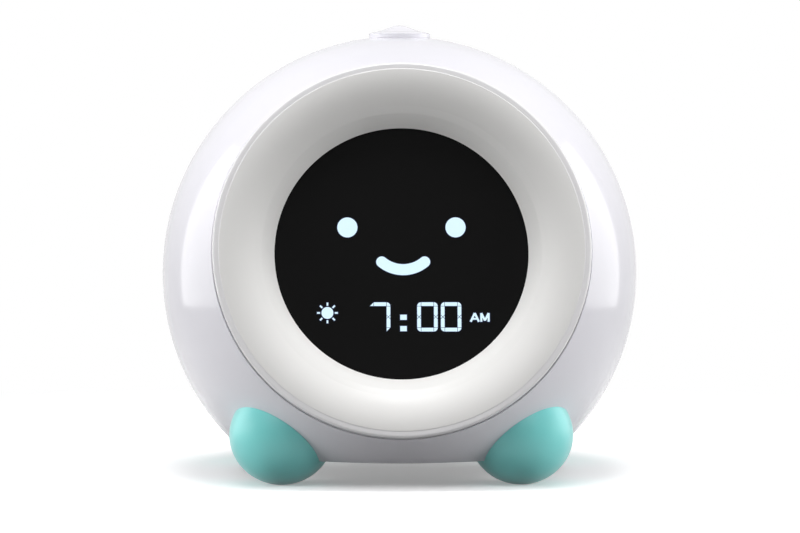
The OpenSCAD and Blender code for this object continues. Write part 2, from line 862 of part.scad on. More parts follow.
module small_screws() {
    color(steel) stand() {
        face() {
            round_face(ring_screw_angles, ring_screw_r) translate([0, 0, ledge_back]) small_screw();
            round_face(holder_screw_angles, ring_screw_r)
                translate([0, 0, holder_front - holder_ear_t]) small_screw();
            round_face(light_post_angles, light_post_r) translate([0, 0, light_back]) small_screw();
            round_face(main_post_angles, main_post_r) translate([0, 0, main_back]) small_screw();
            round_face(key_post_angles, key_circle_r)
                translate([0, 0, key_board_front]) mirror([0, 0, 1]) small_screw();
        }
        for (m = [-1, 1]) translate([m * button_post_x, 0, button_board_top - board_t]) small_screw();
    }
}

// Screws that hold the shells together, sunk in the rear shell
module shell_screws() {
    color(steel) stand() face() round_face(shell_boss_angles, shell_boss_circle)
        translate([0, 0, -shell_screw_seat])
            screw(shell_screw_r, shell_screw_seat + shell_screw_reach - 0.5, shell_head_r, shell_head_h);
}

// Screws that hold the rear panel
module panel_screws() {
    color(steel) stand() face() round_face(panel_screw_angles, panel_boss_circle)
        translate([0, 0, panel_out + screw_head_h]) screw(screw_r, panel_screw_l, screw_head_r, screw_head_h);
}

// Screws that hold the base plate
module base_screws() {
    color(steel) stand() for (a = concat(front_base_angles, rear_base_angles)) rotate([0, 0, a])
        translate([base_boss_circle, 0, base_z + screw_head_h])
            screw(screw_r, base_screw_l, screw_head_r, screw_head_h);
}

// Screws that hold the feet, put in from inside the shells
module foot_screws() {
    color(steel) stand() for (m = [-1, 1], side = [-1, 1]) aim_at_foot(m, side)
        translate([0, 0, inner_r - base_plate_gap]) screw(screw_r, small_screw_l, screw_head_r, screw_head_h);
}

// Places a piece at a rear key
module at_key(i) {
    translate([key_circle_r * cos(key_angles[i]), key_circle_r * sin(key_angles[i]), 0]) children();
}

// Flat rear panel with the keys' holes, the grille and the power inlet's opening
module control_panel() {
    color([0.90, 0.90, 0.92]) stand() face() difference() {
        union() {
            translate([0, 0, panel_out]) cylinder(r = panel_r, h = panel_t, $fn = ball_facets);
            round_face(key_post_angles, key_circle_r)
                translate([0, 0, panel_in - eps])
                    cylinder(r = key_post_r, h = key_board_back - panel_in + eps);
        }
        for (i = [0 : 5]) at_key(i)
            translate([0, 0, panel_out - 1]) cylinder(r = key_r + run_gap, h = panel_t + 2);
        for (ring = [0 : grille_rings], k = [0 : max(0, 6 * ring - 1)]) rotate(k * 60 / max(1, ring))
            translate([ring * grille_pitch, 0, panel_out - 1])
                cylinder(r = grille_hole_r, h = panel_t + 2, $fn = 24);
        rotate(socket_angle + 90) translate([0, -key_circle_r, panel_out - 1]) linear_extrude(panel_t + 2)
            rounded(socket_w + 2 * seat_gap, socket_h + 2 * seat_gap, socket_h / 2 + seat_gap - eps);
        round_face(panel_screw_angles, panel_boss_circle) {
            translate([0, 0, panel_out - 1]) cylinder(r = screw_r, h = panel_t + 2, $fn = screw_facets);
            translate([0, 0, panel_out - 1]) cylinder(r = screw_head_r + head_gap, h = screw_head_h + 1);
        }
        round_face(key_post_angles, key_circle_r)
            translate([0, 0, key_board_front - small_screw_l - seat_gap])
                cylinder(r = screw_r, h = small_screw_l + 2, $fn = screw_facets);
    }
}

// Ring-shaped board under the keys
module key_board() {
    color(board_green) stand() face() difference() {
        ring_between(key_board_out_r, key_board_in_r, key_board_back, key_board_front);
        round_face(key_post_angles, key_circle_r)
            translate([0, 0, key_board_back - 1]) cylinder(r = screw_r, h = board_t + 2, $fn = screw_facets);
    }
}

// Six push switches on the key board
module key_switches() {
    color(dark) stand() face() for (i = [0 : 5]) at_key(i) difference() {
        translate([-switch_side / 2, -switch_side / 2, switch_top])
            cube([switch_side, switch_side, switch_h]);
        translate([0, 0, switch_top - 1]) cylinder(r = plunger_r + run_gap, h = 1 + plunger_l);
    }
}

// The mark sunk in a key's face
module key_mark(name) {
    if (name == "alarm") {
        circle(r = 0.9, $fn = screw_facets);
        translate([-0.9, -1.1]) square([1.8, 1.1]);
        translate([-1.3, -1.3]) square([2.6, 0.4]);
    }
    if (name == "clock") {
        difference() {
            circle(r = 1.6, $fn = 48);
            circle(r = 1.25, $fn = 48);
        }
        translate([-0.15, -0.15]) square([0.3, 1.1]);
        translate([-0.15, -0.15]) square([0.8, 0.3]);
    }
    if (name == "up" || name == "down") square([2.6, 0.5], center = true);
    if (name == "up") square([0.5, 2.6], center = true);
    if (name == "sound") {
        translate([-0.6, -1]) circle(r = 0.6, $fn = screw_facets);
        translate([-0.3, -1]) square([0.3, 2.4]);
        translate([-0.3, 1]) square([1.3, 0.4]);
    }
    if (name == "nap") difference() {
        circle(r = 1.5, $fn = 48);
        translate([0.8, 0.5]) circle(r = 1.35, $fn = 48);
    }
}

// A rear key: the cap with its flange behind the panel
module key_cap(i) {
    top = panel_out - key_proud;
    color(teal) stand() face() at_key(i) difference() {
        union() {
            translate([0, 0, top + key_edge]) cylinder(r = key_r, h = key_back - top - key_edge);
            translate([0, 0, top]) cylinder(r1 = key_r - key_edge, r2 = key_r, h = key_edge);
            translate([0, 0, key_back - key_flange_t]) cylinder(r = key_flange_r, h = key_flange_t);
        }
        translate([0, 0, top - 1]) linear_extrude(1 + key_mark_deep) mirror([1, 0]) key_mark(key_names[i]);
    }
}

module key_alarm() { key_cap(0); }
module key_clock() { key_cap(1); }
module key_up() { key_cap(2); }
module key_down() { key_cap(3); }
module key_sound() { key_cap(4); }
module key_nap() { key_cap(5); }

// The switch's own pin, which the key presses
module plunger(i) {
    color([0.85, 0.2, 0.15]) stand() face() at_key(i) translate([0, 0, key_back])
        cylinder(r = plunger_r, h = plunger_l);
}

module plunger_alarm() { plunger(0); }
module plunger_clock() { plunger(1); }
module plunger_up() { plunger(2); }
module plunger_down() { plunger(3); }
module plunger_sound() { plunger(4); }
module plunger_nap() { plunger(5); }

// Power inlet: a metal mouth with a contact tongue, soldered to the key board
module power_socket() {
    length = key_board_back - panel_out - socket_inset;
    in_w = socket_w - 2 * socket_wall;
    in_h = socket_h - 2 * socket_wall;
    color(steel) stand() face() rotate(socket_angle + 90)
        translate([0, -key_circle_r, panel_out + socket_inset]) {
            difference() {
                linear_extrude(length) rounded(socket_w, socket_h, socket_h / 2 - eps);
                translate([0, 0, -1]) linear_extrude(length) rounded(in_w, in_h, in_h / 2 - eps);
            }
            translate([-tongue_size[0] / 2, -tongue_size[1] / 2, 0.8])
                cube([tongue_size[0], tongue_size[1], length - 1]);
        }
}

// Foam ring between the loudspeaker and the panel
module speaker_gasket() {
    color([0.2, 0.2, 0.2]) stand() face()
        ring_between(speaker_r, speaker_r - gasket_w, panel_in, speaker_back);
}

// Loudspeaker basket with its back cup
module speaker_frame() {
    rim = speaker_r - speaker_rim_w;
    color([0.35, 0.36, 0.38]) stand() face() translate([0, 0, speaker_back]) rotate_extrude() polygon([
        [rim, 0], [speaker_r, 0], [speaker_r, speaker_rim_h], [magnet_r + cup_wall, speaker_waist],
        [magnet_r + cup_wall, speaker_h], [0, speaker_h], [0, speaker_h - cup_wall],
        [magnet_r + 0.05, speaker_h - cup_wall], [magnet_r + 0.05, speaker_waist], [rim, speaker_rim_h]
    ]);
}

module speaker_magnet() {
    color([0.25, 0.25, 0.27]) stand() face() translate([0, 0, speaker_back + speaker_h - cup_wall - magnet_h])
        cylinder(r = magnet_r, h = magnet_h);
}

module speaker_cone() {
    rim = speaker_r - speaker_rim_w;
    color(dark) stand() face() translate([0, 0, speaker_back]) rotate_extrude() polygon([
        [rim, cone_rim_z], [rim, cone_rim_z + cone_t], [voice_r, cone_h], [0, cone_h], [0, cone_h - cone_t],
        [voice_r - cone_t / 2, cone_h - cone_t], [rim - cone_t, cone_rim_z]
    ]);
}

// Top button: a low bell on a skirt, with a flange under the guide and a stem
function bell(x) = 0.35 * (1 + cos(180 * min(1, x / 0.8))) + 0.3 * (1 - pow(x, 6));

module top_button() {
    steps = 20;
    rise = button_tip - button_edge;
    skirt_top = button_edge - button_roof;
    flange_top = button_guide_bottom - button_flange_gap;
    flange_bottom = flange_top - button_flange_t;
    color(white) stand() {
        difference() {
            union() {
                rotate_extrude($fn = 120) polygon(concat(
                    [[0, skirt_top - 0.2], [button_r, skirt_top - 0.2]],
                    [for (i = [steps : -1 : 0]) [button_r * i / steps, button_edge + rise * bell(i / steps)]]
                ));
                translate([0, 0, flange_top - eps]) cylinder(r = button_r, h = skirt_top - flange_top);
                translate([0, 0, flange_bottom]) cylinder(r = button_flange_r, h = button_flange_t);
            }
            translate([0, 0, flange_bottom - 1])
                cylinder(r = button_r - button_wall, h = skirt_top - flange_bottom + 1);
        }
        translate([0, 0, button_stem_bottom])
            cylinder(r = button_stem_r, h = skirt_top + button_roof / 2 - button_stem_bottom);
    }
}

module button_plunger() {
    color(dark) stand() translate([0, 0, button_stem_bottom - button_plunger_l])
        cylinder(r = button_stem_r, h = button_plunger_l);
}

module button_switch() {
    color([0.6, 0.6, 0.62]) stand() difference() {
        translate([-button_switch_side / 2, -button_switch_side / 2, button_board_top])
            cube([button_switch_side, button_switch_side, button_switch_h]);
        translate([0, 0, button_switch_top - button_plunger_l - 0.2])
            cylinder(r = button_stem_r + run_gap, h = button_switch_h);
    }
}

module button_board() {
    color(board_green) stand() difference() {
        translate([-button_board_w / 2, -button_board_l / 2, button_board_top - board_t])
            cube([button_board_w, button_board_l, board_t]);
        for (m = [-1, 1]) translate([m * button_post_x, 0, button_board_top - board_t - 1])
            cylinder(r = screw_r, h = board_t + 2, $fn = screw_facets);
    }
}

// Base plate: fills the flat underside and carries the battery box
module base_plate() {
    color(cool_white) stand() difference() {
        intersection() {
            translate([0, 0, centre_z]) sphere(r = inner_r - base_plate_gap, $fn = ball_facets);
            translate([-big / 2, -big / 2, base_z]) cube([big, big, base_plate_t]);
        }
        door_outline(seat_gap, base_z - 1, base_plate_t + 2);
        for (a = concat(front_base_angles, rear_base_angles)) rotate([0, 0, a])
            translate([base_boss_circle, 0, base_z - 1]) {
                cylinder(r = screw_r, h = base_plate_t + 2, $fn = screw_facets);
                cylinder(r = screw_head_r + head_gap, h = 1 + screw_head_h);
            }
        for (m = [-1, 1], side = [-1, 1]) aim_at_foot(m, side)
            translate([0, 0, inner_r - 4]) cylinder(r = screw_head_r + seat_gap, h = 5);
    }
}

// The battery door's outline, grown by a gap, from a height upward
module door_outline(gap, low, height) {
    slack = gap - seat_gap;
    translate([0, 0, low]) {
        translate([-box_in_x / 2 - slack, -box_in_y / 2 - slack, 0])
            cube([box_in_x + 2 * slack, box_in_y + 2 * slack, height]);
        translate([0, -tab_r - gap, 0]) cube([door_screw_x, 2 * tab_r + 2 * gap, height]);
        translate([door_screw_x, 0, 0]) cylinder(r = tab_r + gap, h = height);
    }
}

// Battery door with its tab for the screw and shallow grip grooves
module battery_door() {
    color(cool_white) stand() difference() {
        door_outline(0, base_z, door_t);
        translate([door_screw_x, 0, base_z - 1]) {
            cylinder(r = door_screw_r + run_gap, h = door_t + 2);
            cylinder(r = door_head_r + seat_gap, h = 1 + 1);
        }
        for (i = [-2 : 2]) translate([-box_in_x / 4 + i * groove_pitch, -groove_l / 2, base_z - 1])
            cube([groove_w, groove_l, 1 + groove_deep]);
    }
}

module door_screw() {
    color(steel) stand() translate([door_screw_x, 0, base_z + 1])
        screw(door_screw_r, door_screw_l, door_head_r, door_head_h);
}

// Battery box: an upturned tray on the base plate, with a boss for the door's screw
module battery_box() {
    out_x = box_in_x + 2 * box_wall;
    out_y = box_in_y + 2 * box_wall;
    color(dark) stand() difference() {
        union() {
            translate([-out_x / 2, -out_y / 2, base_top]) cube([out_x, out_y, box_top - base_top]);
            translate([door_screw_x, 0, base_top]) cylinder(r = tab_r, h = door_boss_h);
            translate([box_in_x / 2, -tab_r, base_top])
                cube([door_screw_x - box_in_x / 2, 2 * tab_r, door_boss_h]);
        }
        translate([-box_in_x / 2, -box_in_y / 2, base_z]) cube([box_in_x, box_in_y, box_roof - base_z]);
        translate([door_screw_x, 0, base_z]) cylinder(r = door_screw_r + run_gap, h = door_boss_h);
    }
}

// Places a piece at a cell; each next cell lies the other way round
module at_cell(i) {
    translate([0, (i - 1) * cell_pitch, cell_z]) rotate([0, 0, i % 2 * 180]) children();
}

module battery_cells() {
    color([0.20, 0.22, 0.26]) stand() for (i = [0 : 2]) at_cell(i)
        translate([cell_start, 0, 0]) rotate([0, 90, 0]) {
            cylinder(r = nub_r, h = nub_l + eps);
            translate([0, 0, nub_l]) cylinder(r = cell_d / 2, h = cell_l - nub_l);
        }
}

module battery_contacts() {
    color(steel) stand() for (i = [0 : 2], m = [-1, 1]) at_cell(i)
        translate([m < 0 ? -box_in_x / 2 : box_in_x / 2 - contact_t, -contact_w / 2, -contact_w / 2])
            cube([contact_t, contact_w, contact_w + cell_gap]);
}

// A tube along points: rings of a round section set square to the route
function turn_at(p, i) = p[min(i + 1, len(p) - 1)] - p[max(i - 1, 0)];
function side_at(p, i, ref) = let (c = cross(turn_at(p, i), ref)) c / norm(c);
function over_at(p, i, ref) = let (c = cross(side_at(p, i, ref), turn_at(p, i))) c / norm(c);

module tube(p, half_w, half_t, sides, ref) {
    n = len(p);
    points = [for (i = [0 : n - 1], k = [0 : sides - 1]) let (a = k * 360 / sides)
        p[i] + half_w * cos(a) * side_at(p, i, ref) + half_t * sin(a) * over_at(p, i, ref)];
    walls = [for (i = [0 : n - 2], k = [0 : sides - 1], t = [0, 1])
        let (a = i * sides + k, b = i * sides + (k + 1) % sides)
        t == 0 ? [a, b, a + sides] : [b, b + sides, a + sides]];
    ends = [for (k = [1 : sides - 2], t = [0, 1])
        t == 0 ? [0, k + 1, k] : [(n - 1) * sides, (n - 1) * sides + k, (n - 1) * sides + k + 1]];
    polyhedron(points, concat(walls, ends), convexity = 8);
}

// Points of a smooth route through the given ones
function through(p, i, t) = let (
    a = p[max(i - 1, 0)], b = p[i], c = p[i + 1], d = p[min(i + 2, len(p) - 1)])
    0.5 * (2 * b + (c - a) * t + (2 * a - 5 * b + 4 * c - d) * t * t + (3 * b - a - 3 * c + d) * t * t * t);
function smooth(p, steps) = concat(
    [for (i = [0 : len(p) - 2], s = [0 : steps - 1]) through(p, i, s / steps)], [p[len(p) - 1]]);

// Springs that press on the cells' flat ends, wider at the foot
module battery_springs() {
    rings = 8 * spring_turns;
    run = spring_l - 2 * spring_wire;
    color(steel) stand() for (i = [0 : 2]) at_cell(i) tube(
        [for (k = [0 : rings]) let (f = k / rings, r = spring_wide_r + (spring_narrow_r - spring_wide_r) * f)
            [spring_start + spring_wire + run * (1 - f), r * cos(k * 45), r * sin(k * 45)]],
        spring_wire, spring_wire, 6, [1, 0.01, 0.02]);
}

// A point of the table's frame, written in the face's frame
function to_face(p) = let (dz = p[2] - centre_z)
    [p[0], p[1] * sin(face_tilt) + dz * cos(face_tilt), dz * sin(face_tilt) - p[1] * cos(face_tilt)];

// A lead's route: straight out of its start and into its plug, with bends counted from these two.
// The first bend is counted from the start, and the rest from the plug.
function route(start, way_out, bends, plug) = let (
    end = [plug[0], plug[1], plug_back], first = start + stub_l * way_out, last = end - [0, 0, stub_l])
    concat([start], smooth([first, start + bends[0], end + bends[1], end + bends[2], last], 4), [end]);

// A pair of insulated wires side by side
module wire_pair(points, ref) {
    for (m = [-1, 1]) tube([for (p = points) p + m * wire_apart], wire_r, wire_r, 8, ref);
}

module battery_leads() {
    start = to_face([battery_exit[0], battery_exit[1], box_top]);
    color([0.7, 0.15, 0.12]) stand() face()
        wire_pair(route(start, upward, battery_bends, plug_places[4]), [1, 0.02, 0.01]);
}

module speaker_leads() {
    start = [speaker_exit[0], speaker_exit[1], speaker_back + speaker_h];
    color(dark) stand() face()
        wire_pair(route(start, [0, 0, 1], speaker_bends, plug_places[3]), [0.2, 1, 0.1]);
}

// Flat lead from the key board to the main board
module key_ribbon() {
    start = [0, key_circle_r, key_board_front];
    points = route(start, [0, 0, 1], ribbon_bends, plug_places[2]);
    color([0.55, 0.57, 0.6]) stand() face() tube(points, ribbon_half_w, ribbon_half_t, 12, [0, 1, 0.05]);
}

module light_leads() {
    a = light_exit_angle;
    start = [light_post_r * cos(a), light_post_r * sin(a), light_back];
    color([0.85, 0.8, 0.2]) stand() face()
        wire_pair(route(start, [0, 0, -1], light_bends, plug_places[1]), [1, 0.4, 0.1]);
}

module button_leads() {
    start = to_face([button_exit[0], button_exit[1], button_board_top - board_t]);
    color([0.9, 0.9, 0.9]) stand() face()
        wire_pair(route(start, -upward, button_bends, plug_places[0]), [1, 0.02, 0.01]);
}

// A foot: a rounded ball of soft plastic, flat below, hollowed to fit the body
module foot(m, side) {
    turn = foot_turn(m, side);
    color(teal) stand() difference() {
        translate([foot_out * cos(turn), foot_out * sin(turn), foot_z])
            scale([foot_w / 2, foot_l / 2, foot_h / 2]) sphere(r = 1, $fn = 120);
        intersection() {
            translate([0, 0, centre_z]) sphere(r = ball_r, $fn = ball_facets);
            above(base_z);
        }
        below(0);
        aim_at_foot(m, side) translate([0, 0, ball_r - 1])
            cylinder(r = screw_r, h = small_screw_l, $fn = screw_facets);
    }
}

module foot_front_left() { foot(-1, -1); }
module foot_front_right() { foot(1, -1); }
module foot_rear_left() { foot(-1, 1); }
module foot_rear_right() { foot(1, 1); }

front_shell();
rear_shell();
face_ring();
display_lens();
display_segments();
lcd_glass();
lcd_holder();
backlight_guide();
backlight_strip();
lcd_flex();
main_board();
board_parts();
night_light_board();
night_light_leds();
small_screws();
shell_screws();
panel_screws();
base_screws();
foot_screws();
control_panel();
key_board();
key_switches();
key_alarm();
key_clock();
key_up();
key_down();
key_sound();
key_nap();
plunger_alarm();
plunger_clock();
plunger_up();
plunger_down();
plunger_sound();
plunger_nap();
power_socket();
speaker_frame();
speaker_magnet();
speaker_cone();
speaker_gasket();
top_button();
button_plunger();
button_switch();
button_board();
base_plate();
battery_box();
battery_contacts();
battery_springs();
battery_cells();
battery_door();
door_screw();
foot_front_left();
foot_front_right();
foot_rear_left();
foot_rear_right();
battery_leads();
speaker_leads();
key_ribbon();
light_leads();
button_leads();
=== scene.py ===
import math

import bmesh
import bpy
import numpy as np
from mathutils import Matrix, Vector


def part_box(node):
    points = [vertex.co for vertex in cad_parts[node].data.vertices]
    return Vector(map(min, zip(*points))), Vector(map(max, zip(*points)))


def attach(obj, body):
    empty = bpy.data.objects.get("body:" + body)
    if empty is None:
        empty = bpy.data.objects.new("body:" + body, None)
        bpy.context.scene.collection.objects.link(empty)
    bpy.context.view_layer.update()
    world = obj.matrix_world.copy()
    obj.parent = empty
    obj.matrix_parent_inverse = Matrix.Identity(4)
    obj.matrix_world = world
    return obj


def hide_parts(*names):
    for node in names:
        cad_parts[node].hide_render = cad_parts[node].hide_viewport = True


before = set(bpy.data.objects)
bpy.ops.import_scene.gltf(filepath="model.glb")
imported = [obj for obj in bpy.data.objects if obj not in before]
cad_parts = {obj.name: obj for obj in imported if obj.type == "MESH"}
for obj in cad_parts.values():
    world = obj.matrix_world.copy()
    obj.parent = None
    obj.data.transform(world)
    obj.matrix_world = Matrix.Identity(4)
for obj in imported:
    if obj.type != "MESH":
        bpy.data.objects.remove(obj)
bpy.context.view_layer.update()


# ---- Ball-shaped shells -------------------------------------------------------------------------
# Two halves of a hollow ball, injection-moulded in milky white plastic with a polished outside.
# They meet behind the middle on a fine dark seam, and four screws from the back hold them together.
MM = 0.001
FACE_TILT = math.radians(11.5)

BALL_RADIUS = 60 * MM
SHELL_WALL = 2.2 * MM
SEAM_BACK = 3 * MM
SEAM_GROOVE = 0.35 * MM
BASE_CUT = 15.6 * MM
BASE_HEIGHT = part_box("front_shell")[0][2]
CENTRE_HEIGHT = BASE_HEIGHT + BALL_RADIUS - BASE_CUT
BALL_Y = sum(corner[1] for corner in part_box("top_button")) / 2
BALL_CENTRE = Vector((0, BALL_Y, CENTRE_HEIGHT))
OPENING_RADIUS = 46.55 * MM
LIP_GAP = 0.06 * MM
EDGE_ROUND = 0.3 * MM
BALL_SKIN = 0.02 * MM  # how near to the ball's surface a point counts as on it

# The leaning face's frame: +Z out of the face, +Y up the face, origin at the ball's centre
FACE = Matrix.Translation(BALL_CENTRE) @ Matrix.Rotation(math.radians(90) - FACE_TILT, 4, "X")
UPRIGHT = Matrix.Translation(Vector((0, BALL_Y, 0)))


class Socket:
    """One output of a shader node. Python's operators add the Math nodes."""

    def __init__(self, nodes, output):
        self.nodes = nodes
        self.output = output

    def _math(self, operation, first, second):
        return self.nodes.add("ShaderNodeMath", {"operation": operation}, {0: first, 1: second})

    def __add__(self, other):
        return self._math("ADD", self, other)

    def __radd__(self, other):
        return self._math("ADD", other, self)

    def __sub__(self, other):
        return self._math("SUBTRACT", self, other)

    def __rsub__(self, other):
        return self._math("SUBTRACT", other, self)

    def __mul__(self, other):
        return self._math("MULTIPLY", self, other)

    def __rmul__(self, other):
        return self._math("MULTIPLY", other, self)

    def greater_of(self, other):
        return self._math("MAXIMUM", self, other)


class Nodes:
    """A material's or world's nodes. Every node but the first ones comes from add()."""

    def __init__(self, tree):
        self.tree = tree

    def add(self, kind, settings=None, inputs=None, output=0):
        node = self.tree.nodes.new(kind)
        for name, value in (settings or {}).items():
            setattr(node, name, value)
        for name, value in (inputs or {}).items():
            socket = node.inputs[name]
            if isinstance(value, Socket):
                self.tree.links.new(value.output, socket)
            else:
                socket.default_value = value
        return Socket(self, node.outputs[output])

    def show(self, shader, output):
        self.tree.links.new(shader.output, self.tree.nodes[output].inputs["Surface"])

    def noise(self, scale, detail=3, roughness=0.5):
        place = self.add("ShaderNodeTexCoord", output="Object")
        return self.add(
            "ShaderNodeTexNoise", None,
            {"Vector": place, "Scale": scale, "Detail": detail, "Roughness": roughness})

    def blend(self, factor, first, second):
        return self.add(
            "ShaderNodeMix", {"data_type": "RGBA"},
            {0: factor, 6: (*first, 1), 7: (*second, 1)}, output=2)

    def bump(self, height, strength, distance):
        return self.add(
            "ShaderNodeBump", None, {"Height": height, "Strength": strength, "Distance": distance})


class Finish(Nodes):
    """A material: its shader's fixed sockets are set by name, and what varies is fed to it."""

    def __init__(self, name, **fixed):
        self.material = bpy.data.materials.new(name)
        self.material.use_nodes = True
        super().__init__(self.material.node_tree)
        self.shader = self.tree.nodes["Principled BSDF"]
        for socket, value in fixed.items():
            self.shader.inputs[socket.replace("_", " ")].default_value = value

    def feed(self, **sockets):
        for name, value in sockets.items():
            self.tree.links.new(value.output, self.shader.inputs[name.replace("_", " ")])


CLOUD_SCALE = 22
POLISH_SCALE = 60
GRAIN_DEPTH = 0.02 * MM


def moulded(name, light, dark, roughness, spread, grain_scale, grain, **fixed):
    """Moulded plastic: cloudy colour, uneven polish and a fine grain."""
    finish = Finish(name, **fixed)
    cloud = finish.noise(CLOUD_SCALE, 4)
    grain_noise = finish.noise(grain_scale, 2)
    finish.feed(
        Base_Color=finish.blend(cloud, dark, light),
        Roughness=roughness + (finish.noise(POLISH_SCALE, 3) - 0.5) * spread,
        Normal=finish.bump(grain_noise, grain, GRAIN_DEPTH))
    return finish.material


def arc(centre_r, centre_z, radius, start, end, steps):
    """Points of an arc in a turned profile, from one angle to another, in degrees."""
    angles = [math.radians(start + (end - start) * i / steps) for i in range(steps + 1)]
    return [(centre_r + radius * math.cos(a), centre_z + radius * math.sin(a)) for a in angles]


def turned(profile, steps=256):
    """A closed solid turned round +Z from a closed profile of (radius, height) points."""
    mesh = bmesh.new()
    rings = []
    for radius, height in profile:
        if radius < 1e-7:
            rings.append([mesh.verts.new((0, 0, height))] * steps)
            continue
        turn = [2 * math.pi * i / steps for i in range(steps)]
        rings.append([mesh.verts.new((radius * math.cos(a), radius * math.sin(a), height)) for a in turn])
    for here, there in zip(rings, rings[1:] + rings[:1]):
        for i in range(steps):
            j = (i + 1) % steps
            corners = []
            for vert in (here[i], here[j], there[j], there[i]):
                if vert not in corners:
                    corners.append(vert)
            if len(corners) > 2:
                mesh.faces.new(corners)
    bmesh.ops.recalc_face_normals(mesh, faces=mesh.faces)
    return mesh


def piece(name, mesh, material, matrix=Matrix.Identity(4), sharp=35):
    """A new object from a bmesh, its place put in the mesh, smooth but for its sharp edges."""
    mesh.transform(matrix)
    data = bpy.data.meshes.new(name)
    mesh.to_mesh(data)
    mesh.free()
    data.materials.append(material)
    data.shade_smooth()
    data.set_sharp_from_angle(angle=math.radians(sharp))
    new = bpy.data.objects.new(name, data)
    bpy.context.scene.collection.objects.link(new)
    return new


def cut(target, mesh, matrix=Matrix.Identity(4), operation="DIFFERENCE"):
    """Cuts a closed mesh out of a piece, or with INTERSECT keeps what lies in both."""
    tool = piece("cutter", mesh, target.data.materials[0], matrix)
    modifier = target.modifiers.new("cut", "BOOLEAN")
    modifier.operation = operation
    modifier.solver = "MANIFOLD"
    modifier.object = tool
    solid = bpy.data.meshes.new_from_object(target.evaluated_get(bpy.context.evaluated_depsgraph_get()))
    target.modifiers.clear()
    target.data = solid
    bpy.data.objects.remove(tool)


def ball_normals(target, sharp=35):
    """Gives a ball's faces the ball's own normals, so that its gloss stays even near a cut."""
    data = target.data
    data.shade_smooth()
    data.set_sharp_from_angle(angle=math.radians(sharp))
    points = np.empty(len(data.vertices) * 3)
    data.vertices.foreach_get("co", points)
    points = points.reshape(-1, 3)
    away = points - np.array(BALL_CENTRE)
    far = np.linalg.norm(away, axis=1)
    on_ball = np.abs(far - BALL_RADIUS) < BALL_SKIN
    normals = np.array([corner.vector[:] for corner in data.corner_normals])
    for face in data.polygons:
        corners = list(face.vertices)
        if on_ball[corners].all():
            for loop, vert in zip(face.loop_indices, corners):
                normals[loop] = away[vert] / far[vert]
    data.normals_split_custom_set(normals.tolist())


def block(low, high):
    """A box from its lowest to its highest corner."""
    mesh = bmesh.new()
    bmesh.ops.create_cube(mesh, size=1)
    low, high = Vector(low), Vector(high)
    mesh.transform(Matrix.Translation((low + high) / 2) @ Matrix.Diagonal((*(high - low), 1)))
    return mesh


def upright_cylinder(radius, low, high, steps=128):
    """A round bar along +Z."""
    return turned([(0, low), (radius, low), (radius, high), (0, high)], steps)


def polar(radius, height):
    """The angle of a profile point seen from the ball's centre, in degrees."""
    return math.degrees(math.atan2(height, radius))


INNER_RADIUS = BALL_RADIUS - SHELL_WALL
RING_RADIUS = 46.3 * MM
mouth_r = RING_RADIUS + LIP_GAP
mouth_z = math.sqrt(BALL_RADIUS ** 2 - (mouth_r + EDGE_ROUND) ** 2)
mouth_inner_z = math.sqrt(INNER_RADIUS ** 2 - mouth_r ** 2)
seam_outer = polar(math.sqrt(BALL_RADIUS ** 2 - SEAM_BACK ** 2), -SEAM_BACK)
groove_angle = math.degrees(SEAM_GROOVE / 2 / BALL_RADIUS)
seam_turn = math.radians(seam_outer)
groove_r = BALL_RADIUS - SEAM_GROOVE
groove_floor = [(groove_r * math.cos(seam_turn), groove_r * math.sin(seam_turn))]

# A profile runs round the opening's soft edge, the polished outside, half the seam's groove and the inside
front_profile = (
    [(mouth_r, mouth_z - EDGE_ROUND * 1.2)]
    + [(mouth_r + EDGE_ROUND * 0.3, mouth_z - EDGE_ROUND * 0.25)]
    + arc(0, 0, BALL_RADIUS, polar(mouth_r + EDGE_ROUND, mouth_z), seam_outer + groove_angle, 80)
    + groove_floor
    + arc(0, 0, INNER_RADIUS, seam_outer, polar(mouth_r, mouth_inner_z), 40))

PANEL_RADIUS = 27.5 * MM
PANEL_GAP = 0.2 * MM
PANEL_HOLE_BEVEL = 0.15 * MM
PANEL_HOLE_EDGE = 0.25 * MM
PANEL_HOLE_INSIDE = 1 * MM
panel_z = -math.sqrt(BALL_RADIUS ** 2 - PANEL_RADIUS ** 2)
panel_hole = PANEL_RADIUS + PANEL_GAP
rear_profile = (
    groove_floor
    + arc(0, 0, BALL_RADIUS, seam_outer - groove_angle, polar(panel_hole + PANEL_HOLE_BEVEL, panel_z), 100)
    + [(panel_hole, panel_z + PANEL_HOLE_EDGE), (panel_hole, panel_z + SHELL_WALL)]
    + arc(0, 0, INNER_RADIUS, polar(PANEL_RADIUS + PANEL_HOLE_INSIDE, panel_z + SHELL_WALL), seam_outer, 60))

shell_plastic = moulded(
    "milky_gloss_plastic", light=(0.856, 0.846, 0.902), dark=(0.845, 0.835, 0.890),
    roughness=0.14, spread=0.05, grain_scale=900, grain=0.05,
    Coat_Weight=0.15, Coat_Roughness=0.04, IOR=1.46)
front_shell = piece("front_shell_skin", turned(front_profile), shell_plastic, FACE)
rear_shell = piece("rear_shell_skin", turned(rear_profile), shell_plastic, FACE)

ROOM = 0.1  # farther out than any part of the clock
BUTTON_RADIUS = 7.7 * MM
BUTTON_HOLE = BUTTON_RADIUS + 0.1 * MM
SCREW_CIRCLE = 51.5 * MM
SCREW_ANGLES = (35, 145, 200, 340)  # round the face from its right, in degrees
WELL_RADIUS = 2.4 * MM
BOSS_RADIUS = 3 * MM
SCREW_HOLE_RADIUS = 1.25 * MM
SCREW_HEAD_SEAT = -14 * MM
BOSS_FRONT = -5 * MM
WELL_END = -40 * MM

